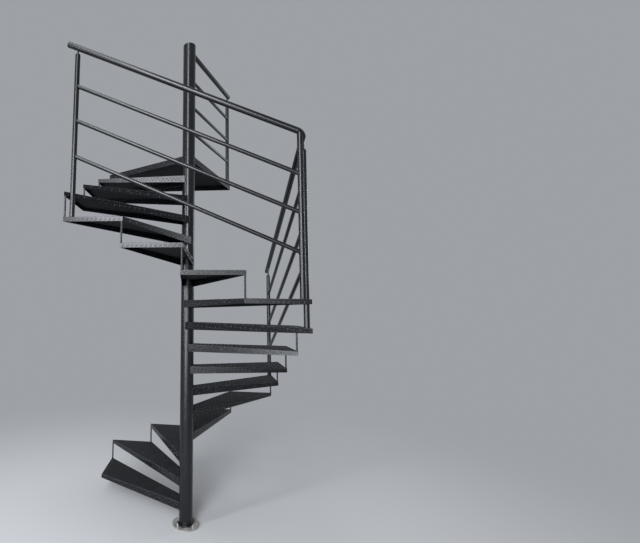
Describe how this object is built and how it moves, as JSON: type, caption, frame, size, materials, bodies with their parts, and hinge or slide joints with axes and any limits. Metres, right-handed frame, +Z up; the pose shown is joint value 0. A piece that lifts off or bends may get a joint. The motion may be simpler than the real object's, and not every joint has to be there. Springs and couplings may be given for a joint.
{
  "type": "spiral staircase on a square plan",
  "caption": "Painted steel spiral staircase on a square plan: chequer plate wedge treads round a tube column, tie rods, tube railings on the outer sides and a corner landing",
  "frame": {"origin": "centre of the underside of the column's base flange, on the floor", "axes": "+Z up along the column; -Y is the front, the side with the long sloping railing that faces the viewer; +X to the viewer's right; the landing is at the back left, its back edge on +Y; the stair climbs clockwise seen from above"},
  "size_m": [1.5218, 1.5628, 3.7905],
  "materials": {
    "column_paint": "satin black paint",
    "plate_paint": "satin black paint over chequer plate, rubbed at the edges",
    "rail_paint": "satin black paint",
    "rod_paint": "satin black paint",
    "flange_steel": "bare zinc grey steel, dull"
  },
  "bodies": {
    "root": {"back_tie_rods": "rod_paint", "base_flange": "flange_steel", "centre_column": "column_paint", "front_handrail": "rail_paint", "front_lower_post": "rail_paint", "front_mid_rails": "rail_paint", "front_tie_rods": "rod_paint", "front_upper_post": "rail_paint", "handrail_elbow": "rail_paint", "handrail_pins": "rod_paint", "landing_handrail": "rail_paint", "landing_mid_rails": "rail_paint", "landing_plate": "plate_paint", "landing_post": "rail_paint", "left_tie_rods": "rod_paint", "post_caps": "rail_paint", "right_tie_rods": "rod_paint", "side_handrail": "rail_paint", "side_lower_post": "rail_paint", "side_mid_rails": "rail_paint", "side_upper_post": "rail_paint", "tread_01": "plate_paint", "tread_02": "plate_paint", "tread_03": "plate_paint", "tread_04": "plate_paint", "tread_05": "plate_paint", "tread_06": "plate_paint", "tread_07": "plate_paint", "tread_08": "plate_paint", "tread_09": "plate_paint", "tread_10": "plate_paint", "tread_11": "plate_paint", "tread_12": "plate_paint", "tread_13": "plate_paint", "tread_14": "plate_paint", "tread_15": "plate_paint", "tread_16": "plate_paint"}
  },
  "joints": []
}
